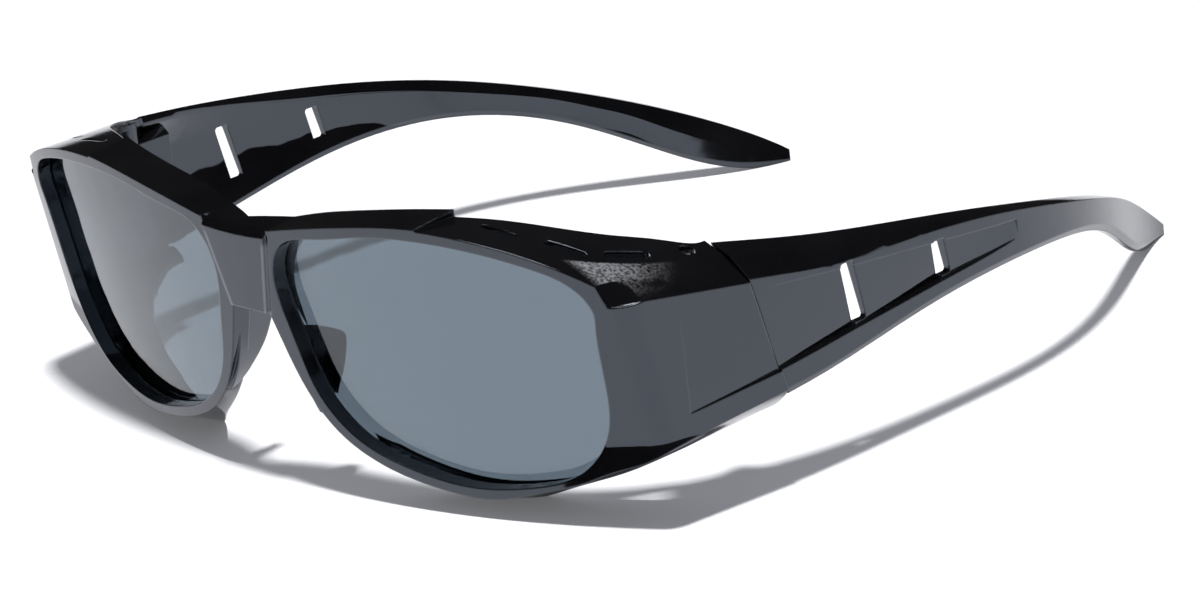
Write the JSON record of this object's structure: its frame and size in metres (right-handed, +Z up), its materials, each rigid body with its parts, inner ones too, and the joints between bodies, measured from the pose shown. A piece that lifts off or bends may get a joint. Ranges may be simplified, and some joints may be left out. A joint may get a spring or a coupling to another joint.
{
  "type": "fitover sunglasses",
  "caption": "Wraparound sunglasses worn over other glasses, with a curved front, side shields, vented brow shelf, nose pads and wide slotted temples that fold inwards.",
  "frame": {"origin": "middle of the bounding box's underside, on the surface that the glasses stand on", "axes": "+X to the wearer's left across the face, +Y from the bridge towards the ears, +Z up"},
  "size_m": [0.1474, 0.1536, 0.0474],
  "materials": {
    "frame_black": "polished injection-moulded plastic",
    "temple_black": "polished injection-moulded plastic",
    "lens_smoke": "smooth smoke-tinted lens",
    "screw_steel": "blackened steel screw",
    "insert_brass": "plain turned brass"
  },
  "bodies": {
    "front": {"front_frame": "frame_black", "lens_left": "lens_smoke", "lens_right": "lens_smoke", "hinge_screw_left": "screw_steel", "hinge_screw_right": "screw_steel", "hinge_insert_left": "insert_brass", "hinge_insert_right": "insert_brass"},
    "temple_left": {"temple_left": "temple_black"},
    "temple_right": {"temple_right": "temple_black"}
  },
  "joints": [
    {"name": "temple_left_fold", "type": "hinge", "parent": "front", "child": "temple_left", "pos_m": [0.066, -0.04586, 0.0335], "axis": [0, 0, 1], "range_deg": [0, 80]},
    {"name": "temple_right_fold", "type": "hinge", "parent": "front", "child": "temple_right", "pos_m": [-0.066, -0.04586, 0.0335], "axis": [0, 0, -1], "range_deg": [0, 74]}
  ]
}
